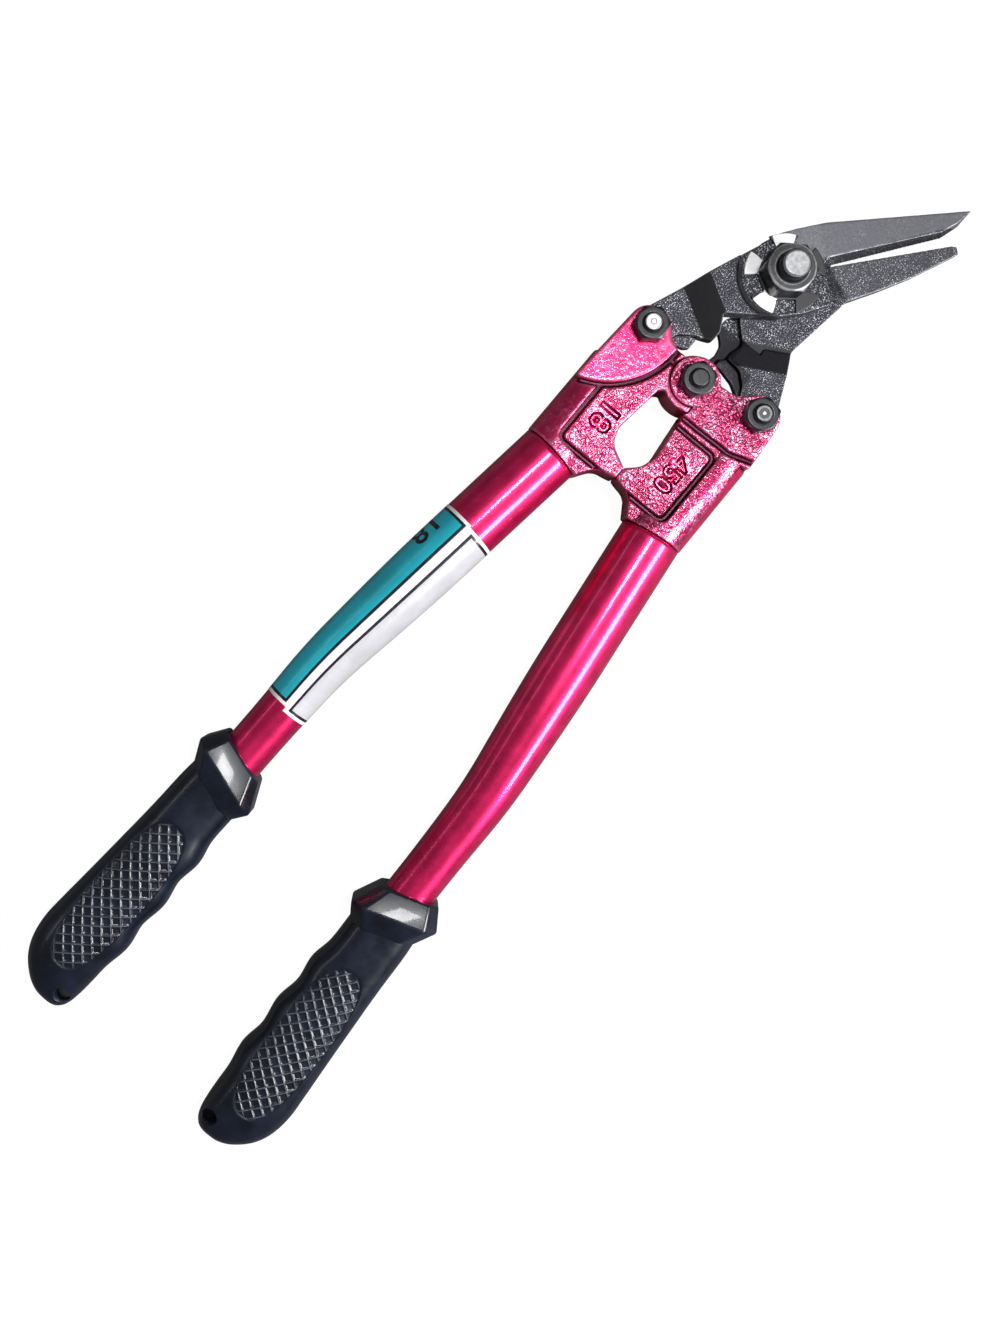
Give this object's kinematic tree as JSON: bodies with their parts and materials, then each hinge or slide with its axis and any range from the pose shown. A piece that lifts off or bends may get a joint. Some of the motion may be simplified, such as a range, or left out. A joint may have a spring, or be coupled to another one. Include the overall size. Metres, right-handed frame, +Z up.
{
  "type": "bolt cutters",
  "caption": "Compound-lever bolt cutters with angled shear blades, cast heads, bent tapered tube handles and moulded grips, handles shut.",
  "frame": {"origin": "middle of the tool's outline, on the surface that it lies on", "axes": "+X along the tool from the grips to the blade tips, +Y to the upper handle, +Z up along the pivot bolts to their nuts"},
  "size_m": [0.4884, 0.13, 0.0381],
  "materials": {
    "casting": "metallic crimson enamel over a hammered casting",
    "tube": "metallic crimson enamel, smooth",
    "grip": "moulded navy-black plastic, satin",
    "jaw": "black forged steel, sparkly grain, ground blade faces",
    "fastener": "black oxide",
    "zinc": "bright zinc",
    "label_teal": "satin film",
    "label_white": "satin film"
  },
  "bodies": {
    "upper_handle": {"handle_casting_upper": "casting", "handle_tube_upper": "tube", "handle_grip_upper": "grip", "size_label": "label_teal", "plain_label": "label_white", "jaw_pivot_bolt_upper": "fastener", "jaw_pivot_nut_upper": "fastener"},
    "lower_handle": {"handle_casting_lower": "casting", "handle_tube_lower": "tube", "handle_grip_lower": "grip", "handle_pivot_bolt": "fastener", "handle_pivot_nut": "fastener", "jaw_pivot_bolt_lower": "fastener", "jaw_pivot_nut_lower": "fastener"},
    "upper_jaw_set": {"jaw_upper": "jaw", "blade_pivot_bolt": "fastener", "blade_pivot_nut": "fastener", "blade_pivot_tab_washer": "zinc", "blade_pivot_washer": "zinc"},
    "lower_jaw_set": {"jaw_lower": "jaw"}
  },
  "joints": [
    {"name": "handles_open", "type": "hinge", "parent": "upper_handle", "child": "lower_handle", "pos_m": [0.1174, 0, 0.0145], "axis": [0, 0, 1], "range_deg": [0, 60]},
    {"name": "upper_jaw_swing", "type": "hinge", "parent": "upper_handle", "child": "upper_jaw_set", "pos_m": [0.12259, 0.02853, 0.0145], "axis": [0, 0, 1], "range_deg": [0, 37]},
    {"name": "lower_jaw_swing", "type": "hinge", "parent": "upper_jaw_set", "child": "lower_jaw_set", "pos_m": [0.17423, 0, 0.0145], "axis": [0, 0, 1], "range_deg": [-13, 0]}
  ],
  "couplings": [
    {"joint": "upper_jaw_swing", "follows": "handles_open", "ratio": 0.605},
    {"joint": "lower_jaw_swing", "follows": "handles_open", "ratio": -0.21}
  ]
}
